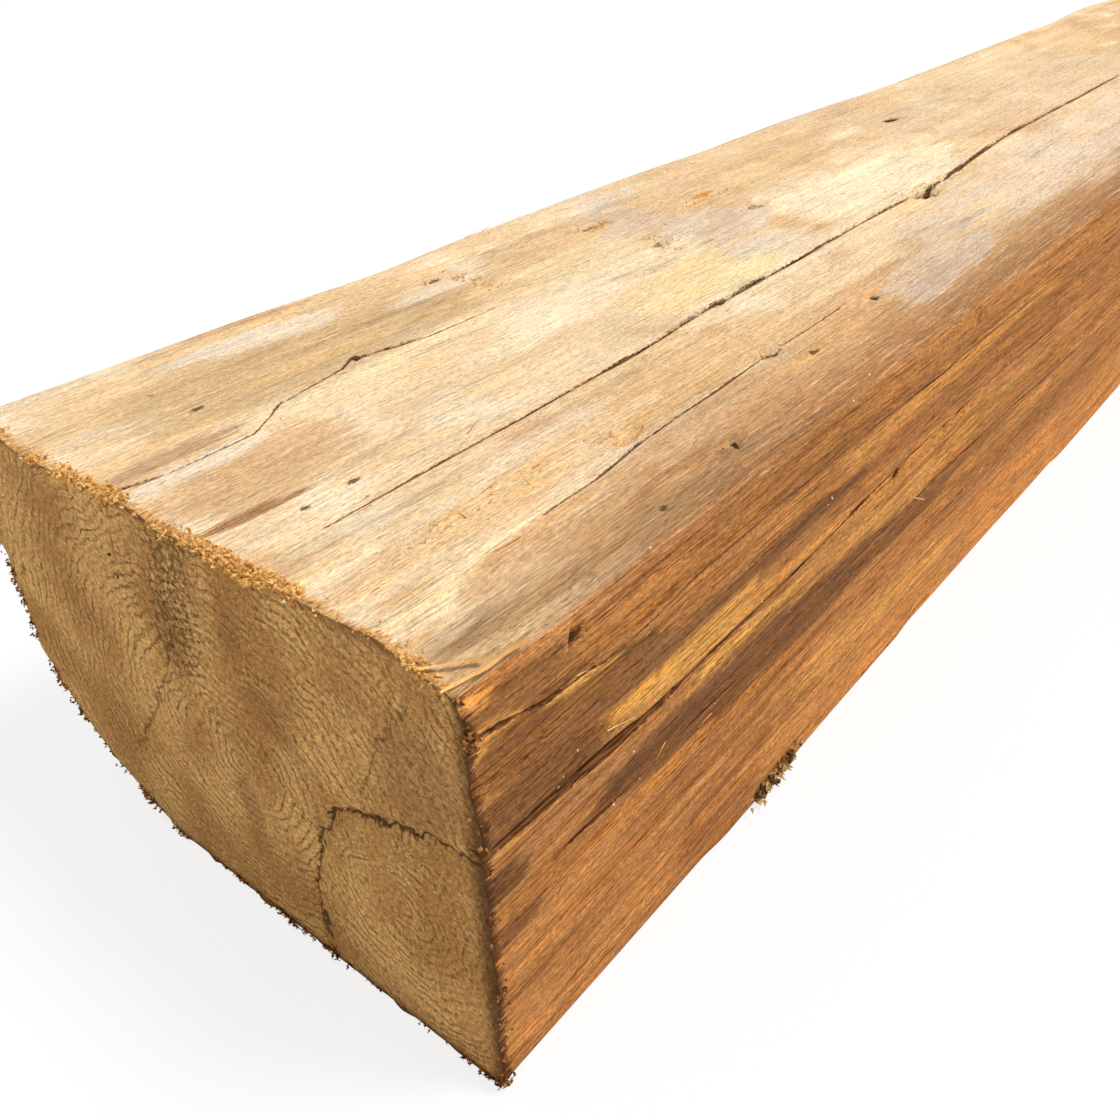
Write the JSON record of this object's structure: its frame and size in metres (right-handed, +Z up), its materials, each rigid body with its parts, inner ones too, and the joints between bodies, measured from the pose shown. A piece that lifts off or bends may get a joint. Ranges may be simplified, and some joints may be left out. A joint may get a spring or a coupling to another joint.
{
  "type": "reclaimed timber rafter",
  "caption": "Old hewn timber beam of rectangular section with a wane, drying checks, a nail hole and a knot hole, and square-sawn ends.",
  "frame": {"origin": "middle of the flat bearing face, halfway along the timber", "axes": "+X along the timber from its near end to its far end, +Y from the weathered side to the waney side, +Z up from the bearing face"},
  "size_m": [2.4, 0.2314, 0.1514],
  "materials": {
    "old_timber": "bare, dry and weathered, torn fibres and open checks"
  },
  "bodies": {
    "root": {"rafter": "old_timber"}
  },
  "joints": []
}
